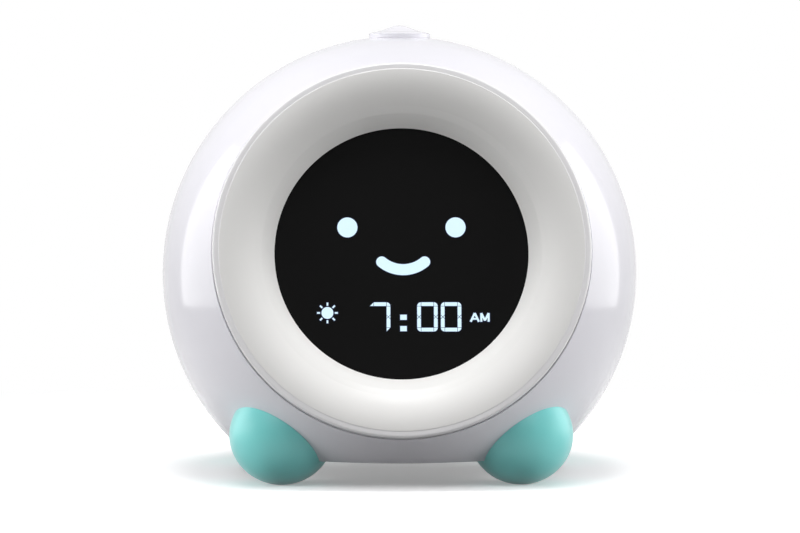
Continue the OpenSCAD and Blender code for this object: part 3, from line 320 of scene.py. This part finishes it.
for shell in (front_shell, rear_shell):
    cut(shell, block((-ROOM, -ROOM, -ROOM), (ROOM, ROOM, BASE_HEIGHT)))
cut(front_shell, upright_cylinder(BUTTON_HOLE, CENTRE_HEIGHT, CENTRE_HEIGHT + ROOM), UPRIGHT)

# Each screw's well is sunk from the back to the seat of its head, in a boss that ends at the shell's inside
well_profile = [
    (SCREW_HOLE_RADIUS, BOSS_FRONT), (SCREW_HOLE_RADIUS, SCREW_HEAD_SEAT), (WELL_RADIUS, SCREW_HEAD_SEAT),
    (WELL_RADIUS, WELL_END), (BOSS_RADIUS, WELL_END), (BOSS_RADIUS, BOSS_FRONT)]
inside_ball = arc(0, 0, INNER_RADIUS + SHELL_WALL / 4, -90, 90, 96)
for number, angle in enumerate(SCREW_ANGLES, 1):
    screw = FACE @ Matrix.Rotation(math.radians(angle), 4, "Z") @ Matrix.Translation((SCREW_CIRCLE, 0, 0))
    cut(rear_shell, upright_cylinder(WELL_RADIUS, -ROOM, SCREW_HEAD_SEAT, 64), screw)
    well = piece("screw_well_%d" % number, turned(well_profile, 64), shell_plastic, screw)
    cut(well, turned(inside_ball, 192), FACE, "INTERSECT")
    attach(well, "housing")
for shell, node in ((front_shell, "front_shell"), (rear_shell, "rear_shell")):
    ball_normals(shell)
    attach(shell, "housing")
    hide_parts(node)


# ---- Face ring ----------------------------------------------------------------------------------
# A separate ring in warm white plastic fills the face opening. Inside a narrow polished rim it stands up
# in a fine step, rolls inwards over a round slope to a crease, and drops in a short cone to the window.
RIM_PROUD = 2.74 * MM
RIM_FRONT = math.sqrt(BALL_RADIUS ** 2 - OPENING_RADIUS ** 2) + RIM_PROUD
RIM_WIDTH = 1.9 * MM
RIM_ROUND = 0.6 * MM
RIM_STEP = 0.1 * MM
STEP_ROUND = 0.2 * MM
SLOPE_RADIUS = 14 * MM
SLOPE_END = 37.4
CREASE_WIDTH = 1.5 * MM
CREASE_ANGLE = math.radians(29)
CONE_CROWN = 0.12 * MM
CONE_STEPS = (0, 0.06, 0.2, 0.4, 0.6, 0.8, 1)
RING_WALL = 1.8 * MM
WINDOW_RADIUS = 31.2 * MM
WINDOW_LIP = 0.3 * MM
WINDOW_FRONT = RIM_FRONT - 7.6 * MM
LENS_FRONT = WINDOW_FRONT - 0.4 * MM
COLLAR_BACK = LENS_FRONT - 3.6 * MM
COLLAR_TOP = LENS_FRONT + 2 * MM
COLLAR_INNER = 33.7 * MM
COLLAR_OUTER = 35.7 * MM
LEDGE_TOP = RIM_FRONT - 7.1 * MM

slope_r = RING_RADIUS - RIM_WIDTH
slope_z = RIM_FRONT - SLOPE_RADIUS
rim_z = RIM_FRONT - RIM_STEP
step_start = math.degrees(math.asin(1 - RIM_STEP / STEP_ROUND))
slope = arc(slope_r, slope_z, SLOPE_RADIUS, 90, 90 + SLOPE_END, 40)
crease_r = slope[-1][0] - CREASE_WIDTH
crease_z = slope[-1][1] - CREASE_WIDTH * math.tan(CREASE_ANGLE)
cone = []
for t in CONE_STEPS:
    crown = 4 * CONE_CROWN * t * (1 - t)
    cone.append((crease_r + (WINDOW_RADIUS - crease_r) * t, crease_z + (WINDOW_FRONT - crease_z) * t + crown))
ring_profile = (
    arc(RING_RADIUS - RIM_ROUND, rim_z - RIM_ROUND, RIM_ROUND, 0, 90, 10)
    + arc(slope_r + STEP_ROUND, RIM_FRONT - STEP_ROUND, STEP_ROUND, step_start, 90, 6)
    + slope + cone
    + [(WINDOW_RADIUS + WINDOW_LIP, LENS_FRONT), (COLLAR_INNER, LENS_FRONT), (COLLAR_INNER, COLLAR_BACK),
       (COLLAR_OUTER, COLLAR_BACK), (COLLAR_OUTER, COLLAR_TOP)]
    + arc(slope_r, slope_z, SLOPE_RADIUS - RING_WALL, 90 + SLOPE_END, 92, 24)
    + [(slope_r, LEDGE_TOP), (RING_RADIUS, LEDGE_TOP)])

ring_plastic = moulded(
    "warm_white_ring_plastic", light=(0.935, 0.927, 0.912), dark=(0.922, 0.914, 0.899),
    roughness=0.36, spread=0.06, grain_scale=900, grain=0.05,
    Specular_IOR_Level=0.2, Coat_Weight=0.05, Coat_Roughness=0.2, IOR=1.48)
rim_plastic = moulded(
    "polished_rim_plastic", light=(0.93, 0.92, 0.935), dark=(0.918, 0.908, 0.922),
    roughness=0.2, spread=0.05, grain_scale=900, grain=0.05,
    Coat_Weight=0.2, Coat_Roughness=0.08, IOR=1.48)
ring_mesh = turned(ring_profile)
for ring_face in ring_mesh.faces:
    nearest = min(math.hypot(vert.co.x, vert.co.y) for vert in ring_face.verts)
    ring_face.material_index = int(nearest > slope_r + STEP_ROUND)
face_ring = piece("face_ring_skin", ring_mesh, ring_plastic, FACE)
face_ring.data.materials.append(rim_plastic)
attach(face_ring, "housing")
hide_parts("face_ring")


# ---- Window and its lit marks -------------------------------------------------------------------
# A black smoked disc is glued in behind the ring. The time, a sun and a plain smile light up pale blue
# on it; each mark has a thin dark blue edge where its light spills into the smoked layer.
LENS_RADIUS = 33.5 * MM
LENS_BACK = LENS_FRONT - 2 * MM
LENS_BEVEL = 0.15 * MM
MARK_SPILL = 0.11 * MM
SPILL_HEIGHT = 0.05 * MM
LONGEST_CORNER = 1.6  # how far a sharp corner may reach, in spills


def smoked_window():
    """Black plastic, nearly without gloss, with a faint cloud."""
    finish = Finish("smoked_window", Specular_IOR_Level=0.03, IOR=1.45)
    cloud = finish.noise(30, 2)
    finish.feed(
        Base_Color=finish.blend(cloud, (0.0094, 0.0094, 0.0095), (0.0104, 0.0104, 0.0105)),
        Roughness=0.28 + finish.noise(140, 2) * 0.06)
    return finish.material


def lit_mark():
    """The cells that let the light through."""
    finish = Finish("lit_marks", Base_Color=(0.10, 0.13, 0.15, 1), Roughness=0.6, Emission_Strength=1.0)
    cells = finish.noise(700, 2)
    finish.feed(Emission_Color=finish.blend(cells, (0.64, 0.845, 0.925), (0.69, 0.885, 0.955)))
    return finish.material


def mark_edge():
    """The dark blue spill round them."""
    finish = Finish("mark_edges", Base_Color=(0.012, 0.014, 0.05, 1), Roughness=0.6, Emission_Strength=1.0)
    cells = finish.noise(700, 2)
    finish.feed(Emission_Color=finish.blend(cells, (0.016, 0.022, 0.085), (0.022, 0.030, 0.11)))
    return finish.material


lens_profile = [
    (0, LENS_BACK), (LENS_RADIUS, LENS_BACK), (LENS_RADIUS, LENS_FRONT - LENS_BEVEL),
    (LENS_RADIUS - LENS_BEVEL, LENS_FRONT), (0, LENS_FRONT)]
window = piece("window_disc", turned(lens_profile), smoked_window(), FACE)
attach(window, "housing")
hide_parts("display_lens")

def finish_nodes(material, *nodes):
    """Gives CAD nodes whose shape is right their own finish."""
    for node in nodes:
        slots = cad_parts[node].data.materials
        slots.clear()
        slots.append(material)


finish_nodes(lit_mark(), "display_segments")


def spilled_edges(node, spill, height):
    """The marks' outlines grown sideways by the spill, as low plates round them."""
    mesh = bmesh.new()
    mesh.from_mesh(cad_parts[node].data)
    bmesh.ops.remove_doubles(mesh, verts=mesh.verts, dist=1e-6)
    out_of_face = FACE.to_3x3() @ Vector((0, 0, 1))
    moves = []
    for vert in mesh.verts:
        # The upright sides that meet in this corner, each direction once
        sides = []
        for face in vert.link_faces:
            normal = face.normal
            if abs(normal.dot(out_of_face)) < 0.5 and all(normal.dot(other) < 0.999 for other in sides):
                sides.append(normal.copy())
        push = sum(sides, Vector((0, 0, 0)))
        if push.length > 1e-6:
            push.normalize()
            push *= min(LONGEST_CORNER, 1 / max(0.3, push.dot(sides[0])))
        level = (vert.co - BALL_CENTRE).dot(out_of_face) - LENS_FRONT
        lower = max(0, level - height) if level > height else 0
        moves.append((vert, push * spill - out_of_face * lower))
    for vert, move in moves:
        vert.co += move
    return mesh


edges = piece("mark_edges", spilled_edges("display_segments", MARK_SPILL, SPILL_HEIGHT), mark_edge())
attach(edges, "housing")


# ---- Top button ---------------------------------------------------------------------------------
# The button is one moulding in the shell's white: a low bell on a round skirt, polished like the shell.
# It runs in a collar of the front shell and is kept in by a flange below it.
BUTTON_TIP = CENTRE_HEIGHT + BALL_RADIUS + 2.7 * MM
BUTTON_EDGE = CENTRE_HEIGHT + math.sqrt(BALL_RADIUS ** 2 - BUTTON_RADIUS ** 2) + 1.1 * MM
BUTTON_BEVEL = 0.15 * MM
BUTTON_CROWN = 1.2 * MM
BUTTON_WALL = 1.4 * MM
FLANGE_RADIUS = BUTTON_RADIUS + 0.9 * MM
FLANGE_TOP = CENTRE_HEIGHT + INNER_RADIUS - 5.7 * MM
FLANGE_BOTTOM = FLANGE_TOP - 1 * MM
HUMP_SHARE = 0.7
HUMP_REACH = 0.8


def bell_height(x):
    """A hump on a round shoulder: the height over the button's edge, from 1 at the middle to 0."""
    hump = (1 + math.cos(math.pi * min(1, x / HUMP_REACH))) / 2
    return HUMP_SHARE * hump + (1 - HUMP_SHARE) * (1 - x ** 6)


button_rise = BUTTON_TIP - BUTTON_EDGE
bell = [(BUTTON_RADIUS * i / 48, BUTTON_EDGE + button_rise * bell_height(i / 48)) for i in range(48, -1, -1)]
skirt_in = BUTTON_RADIUS - BUTTON_WALL
button_profile = [
    (0, BUTTON_EDGE - BUTTON_CROWN), (skirt_in, BUTTON_EDGE - BUTTON_CROWN), (skirt_in, FLANGE_BOTTOM),
    (FLANGE_RADIUS, FLANGE_BOTTOM), (FLANGE_RADIUS, FLANGE_TOP),
    (BUTTON_RADIUS, FLANGE_TOP), (BUTTON_RADIUS, BUTTON_EDGE - BUTTON_BEVEL)] + bell
top_button = piece("top_button_skin", turned(button_profile, 192), shell_plastic, UPRIGHT, 50)
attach(top_button, "button")
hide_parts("top_button")


# ---- Feet ---------------------------------------------------------------------------------------
# Four teal balls in satin soft-touch plastic are screwed on from inside. Each is hollowed to sit tight on
# the shell and has a small flat below. Their colour is even, with a faint bloom and a fine skin texture.
FOOT_HALF = Vector((12.9, 11.6, 12.3)) * MM
FOOT_FLAT = 0.15 * MM
FOOT_SINK = 3.35 * MM
FOOT_EDGE_GAP = 0.05 * MM
FEET = (("foot_front_left", 180 + 44.7), ("foot_front_right", -44.7),
        ("foot_rear_left", 180 - 40.6), ("foot_rear_right", 40.6))
foot_height = FOOT_HALF.z - FOOT_FLAT
foot_out = math.sqrt((BALL_RADIUS - FOOT_SINK) ** 2 - (CENTRE_HEIGHT - foot_height) ** 2)

foot_plastic = moulded(
    "teal_satin_plastic", light=(0.245, 0.85, 0.825), dark=(0.232, 0.82, 0.795),
    roughness=0.38, spread=0.05, grain_scale=1400, grain=0.10,
    Sheen_Weight=0.25, Sheen_Roughness=0.4, Coat_Weight=0.7, Coat_Roughness=0.3, IOR=1.45)
shell_floor = polar(math.sqrt(BALL_RADIUS ** 2 - (BALL_RADIUS - BASE_CUT) ** 2), BASE_CUT - BALL_RADIUS)
ball_bed = [(0, BASE_CUT - BALL_RADIUS)] + arc(0, 0, BALL_RADIUS + FOOT_EDGE_GAP, shell_floor, 90, 140)


def ball_foot(name, angle):
    """A squashed ball, its place given by its direction from the middle."""
    mesh = bmesh.new()
    bmesh.ops.create_uvsphere(mesh, u_segments=128, v_segments=80, radius=1)
    out = Vector((math.cos(angle), math.sin(angle), 0)) * foot_out
    place = Matrix.Translation(Vector((0, BALL_Y, foot_height)) + out) @ Matrix.Diagonal((*FOOT_HALF, 1))
    foot = piece(name + "_skin", mesh, foot_plastic, place)
    cut(foot, turned(ball_bed), Matrix.Translation(BALL_CENTRE))
    cut(foot, block((-ROOM, -ROOM, -ROOM), (ROOM, ROOM, 0)))
    foot.data.shade_smooth()
    foot.data.set_sharp_from_angle(angle=math.radians(35))
    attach(foot, "housing")
    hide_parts(name)


for foot_name, foot_angle in FEET:
    ball_foot(foot_name, math.radians(foot_angle))


# ---- Rear panel, base plate and battery door ----------------------------------------------------
# Flat mouldings in white plastic with a spark-eroded grain, less glossy than the shells. The panel sits
# in the rear shell and has the speaker's holes; the base plate closes the underside.
panel_plastic = moulded(
    "grained_white_plastic", light=(0.80, 0.80, 0.825), dark=(0.77, 0.77, 0.795),
    roughness=0.48, spread=0.08, grain_scale=2600, grain=0.35, IOR=1.48)
finish_nodes(panel_plastic, "control_panel", "base_plate", "battery_door")


# ---- Rear keys ----------------------------------------------------------------------------------
# Six round keys in the feet's teal, each with a chamfered edge and a sunken mark. They press a switch
# pin behind the panel.
key_plastic = moulded(
    "teal_key_plastic", light=(0.225, 0.665, 0.60), dark=(0.20, 0.62, 0.56),
    roughness=0.40, spread=0.06, grain_scale=1800, grain=0.15, IOR=1.46)
KEYS = ("alarm", "clock", "up", "down", "sound", "nap")
finish_nodes(key_plastic, *("key_" + key for key in KEYS))


# ---- Screws, power socket, speaker basket and springs -------------------------------------------
# Zinc-plated steel: rolled screws with cross heads, a stamped socket mouth, drawn basket and coiled
# springs. Brushed lightly, with uneven plating.
def plated_steel():
    """Patchy zinc, smoother where it is brighter."""
    finish = Finish("zinc_plated_steel", Metallic=1.0)
    patches = finish.noise(260, 4, 0.6)
    finish.feed(
        Base_Color=finish.blend(patches, (0.50, 0.51, 0.53), (0.66, 0.67, 0.68)),
        Roughness=0.42 - patches * 0.16,
        Normal=finish.bump(finish.noise(3000, 2), 0.1, 0.01 * MM))
    return finish.material


finish_nodes(
    plated_steel(), "small_screws", "shell_screws", "panel_screws", "base_screws", "foot_screws", "door_screw",
    "power_socket", "battery_contacts", "battery_springs", "speaker_frame")


# ---- Circuit boards -----------------------------------------------------------------------------
# Green glass-fibre boards with a lacquered face in which the woven glass and copper tracks show faintly.
# The night light's ring board is lacquered white so that it throws the light forward.
def lacquered_board(name, ground, track):
    """A coloured lacquer with faint tracks below it."""
    finish = Finish(name, Coat_Weight=0.3, Coat_Roughness=0.1)
    place = finish.add("ShaderNodeTexCoord", output="Object")
    tracks = finish.add(
        "ShaderNodeTexBrick", None,
        {"Vector": place, "Color1": (0, 0, 0, 1), "Color2": (0.25, 0.25, 0.25, 1), "Mortar": (1, 1, 1, 1),
         "Scale": 160, "Mortar Size": 0.08}, output="Color")
    weave = finish.noise(1200, 2)
    finish.feed(
        Base_Color=finish.blend(tracks, ground, track), Roughness=0.35 + weave * 0.15,
        Normal=finish.bump(tracks, 0.2, 0.03 * MM))
    return finish.material


finish_nodes(
    lacquered_board("green_boards", (0.012, 0.10, 0.045), (0.03, 0.20, 0.10)),
    "main_board", "key_board", "button_board", "backlight_strip")
finish_nodes(lacquered_board("white_light_board", (0.80, 0.81, 0.80), (0.70, 0.71, 0.66)), "night_light_board")


# ---- Parts inside -------------------------------------------------------------------------------
# What the shells hide: moulded holder and light guide, dark glass, lamps, chips, switches, loudspeaker,
# cells in printed sleeves, amber film and insulated leads. All plain mouldings with a light grain.
INSIDE = {
    "holder_plastic": ((0.80, 0.80, 0.77), (0.74, 0.74, 0.71), 0.5, ("lcd_holder", "backlight_guide")),
    "dark_glass": ((0.020, 0.022, 0.030), (0.016, 0.017, 0.024), 0.12, ("lcd_glass",)),
    "lamp_filling": ((0.90, 0.83, 0.42), (0.86, 0.78, 0.36), 0.3, ("night_light_leds",)),
    "dark_parts": (
        (0.035, 0.035, 0.040), (0.025, 0.025, 0.030), 0.45,
        ("board_parts", "key_switches", "button_switch", "button_plunger", "speaker_magnet", "speaker_cone",
         "speaker_gasket", "battery_box")),
    "switch_pins": ((0.55, 0.06, 0.04), (0.48, 0.05, 0.03), 0.4, tuple("plunger_" + key for key in KEYS)),
    "cell_sleeves": ((0.06, 0.09, 0.16), (0.05, 0.075, 0.14), 0.35, ("battery_cells",)),
    "amber_film": ((0.52, 0.25, 0.05), (0.46, 0.21, 0.04), 0.3, ("lcd_flex",)),
    "grey_ribbon": ((0.34, 0.35, 0.37), (0.29, 0.30, 0.32), 0.5, ("key_ribbon",)),
    "red_leads": ((0.50, 0.03, 0.02), (0.42, 0.025, 0.02), 0.4, ("battery_leads",)),
    "black_leads": ((0.03, 0.03, 0.03), (0.02, 0.02, 0.02), 0.4, ("speaker_leads",)),
    "yellow_leads": ((0.65, 0.52, 0.05), (0.58, 0.46, 0.04), 0.4, ("light_leads",)),
    "white_leads": ((0.70, 0.70, 0.68), (0.64, 0.64, 0.62), 0.4, ("button_leads",)),
}
for inside_name, (light, dark, roughness, nodes) in INSIDE.items():
    finish_nodes(moulded(inside_name, light, dark, roughness, 0.06, 1200, 0.1), *nodes)


# ---- Table, light and camera --------------------------------------------------------------------
# A plain pale table in a white surround. Two soft lamps above do most of the lighting, with one low on each
# side and one behind. A panel close to each side only shows in the gloss, as the band down the flank.
TABLE_SIZE = 6
TABLE_COLOUR = 0.24  # in the light that it throws on the clock
TABLE_SEEN = 1.0  # to the eye, with the glow on top
TABLE_GLOW = 0.26
GLOSS_SHOWS = 0.8  # of the white surround
SHADOW_REACH = 0.09  # from here the table fades, and is white at the next
WHITE_REACH = 0.26
CAMERA_DISTANCE = 1.0
CAMERA_RISE = math.radians(3)
CAMERA_TURN = math.radians(0.9)
PICTURE_WIDTH = 800
PICTURE_HEIGHT = 533
BALL_PIXEL_RADIUS = 236.4
BALL_PIXEL = (399.5, 273.0)
SENSOR = 36.0

scene = bpy.context.scene
scene.view_settings.view_transform = "Standard"


def seen_directly(nodes):
    """1 for rays from the camera, a little less for what gloss and glass show, 0 for the light thrown on."""
    camera_ray, glossy_ray, through_ray = (
        nodes.add("ShaderNodeLightPath", output="Is %s Ray" % kind)
        for kind in ("Camera", "Glossy", "Transmission"))
    return camera_ray.greater_of(glossy_ray.greater_of(through_ray) * GLOSS_SHOWS)


def pale_table():
    """Pale to the eye with the object's shadow, white farther out, and grey in the light it throws back."""
    finish = Finish("pale_table", Roughness=0.9, Specular_IOR_Level=0.1)
    speckle = finish.noise(90, 3)
    finish.feed(Base_Color=finish.blend(speckle, (TABLE_COLOUR - 0.01,) * 3, (TABLE_COLOUR + 0.01,) * 3))
    paper = finish.add("ShaderNodeBsdfDiffuse", None, {"Color": (TABLE_SEEN, TABLE_SEEN, TABLE_SEEN, 1)})
    glow = finish.add("ShaderNodeEmission", None, {"Strength": TABLE_GLOW})
    near = finish.add("ShaderNodeAddShader", None, {0: paper, 1: glow})
    place = finish.add("ShaderNodeTexCoord", output="Object")
    distance = finish.add("ShaderNodeVectorMath", {"operation": "LENGTH"}, {0: place}, output="Value")
    faded = finish.add(
        "ShaderNodeMapRange", {"interpolation_type": "SMOOTHSTEP"},
        {"Value": distance, "From Min": SHADOW_REACH, "From Max": WHITE_REACH})
    far = finish.add("ShaderNodeEmission", None, {"Strength": 1.0})
    visible = finish.add("ShaderNodeMixShader", None, {0: faded, 1: near, 2: far})
    thrown = Socket(finish, finish.shader.outputs[0])
    both = finish.add("ShaderNodeMixShader", None, {0: seen_directly(finish), 1: thrown, 2: visible})
    finish.show(both, "Material Output")
    return finish.material


table_mesh = bmesh.new()
bmesh.ops.create_grid(table_mesh, x_segments=8, y_segments=8, size=TABLE_SIZE)
table = piece("table_top", table_mesh, pale_table())

world = bpy.data.worlds.new("white_surround")
scene.world = world
world.use_nodes = True
surround = Nodes(world.node_tree)
white = surround.add("ShaderNodeBackground", None, {"Color": (1, 1, 1, 1), "Strength": seen_directly(surround)})
surround.show(white, "World Output")


def soft_panel(name, place, aim, width, height, power, lights=True, shows=True):
    """A square lamp aimed at a point, which may be kept out of the gloss or only show in it."""
    data = bpy.data.lights.new(name, "AREA")
    data.shape = "RECTANGLE"
    data.size = width
    data.size_y = height
    data.energy = power
    lamp = bpy.data.objects.new(name, data)
    scene.collection.objects.link(lamp)
    lamp.location = place
    lamp.rotation_euler = (Vector(aim) - Vector(place)).to_track_quat("-Z", "Y").to_euler()
    lamp.visible_diffuse = lights
    lamp.visible_glossy = shows


soft_panel("top_lamp", (0, -0.1, 0.75), BALL_CENTRE, 0.35, 0.3, 3.5)
soft_panel("top_front_lamp", (0, -0.6, 0.75), BALL_CENTRE, 0.9, 0.5, 2.35)
for side, word in ((-1, "left"), (1, "right")):
    soft_panel("low_lamp_" + word, (side * 0.5, -0.1, 0.12), BALL_CENTRE, 0.3, 0.24, 1.5, shows=False)
    soft_panel(
        "flank_panel_" + word, (side * 0.27, 0.068, 0.126), (0, 0.068, 0.126), 0.195, 0.25, 0.26, lights=False)
soft_panel("back_lamp", (0, 0.9, 0.24), BALL_CENTRE, 0.8, 0.25, 4, shows=False)

camera_data = bpy.data.cameras.new("camera")
camera = bpy.data.objects.new("camera", camera_data)
scene.collection.objects.link(camera)
scene.camera = camera
pixels_per_metre = BALL_PIXEL_RADIUS / BALL_RADIUS
camera_data.sensor_width = SENSOR
camera_data.lens = pixels_per_metre * CAMERA_DISTANCE * SENSOR / PICTURE_WIDTH
turn = Matrix.Rotation(-CAMERA_TURN, 3, "Z")
look = turn @ Vector((0, math.cos(CAMERA_RISE), -math.sin(CAMERA_RISE)))
up = turn @ Vector((0, math.sin(CAMERA_RISE), math.cos(CAMERA_RISE)))
right = turn @ Vector((1, 0, 0))
aim_right = (PICTURE_WIDTH / 2 - BALL_PIXEL[0]) / pixels_per_metre
aim_up = (BALL_PIXEL[1] - PICTURE_HEIGHT / 2) / pixels_per_metre
camera.location = BALL_CENTRE - look * CAMERA_DISTANCE + up * aim_up + right * aim_right
camera.rotation_euler = look.to_track_quat("-Z", "Y").to_euler()
camera_data.clip_start = 0.05
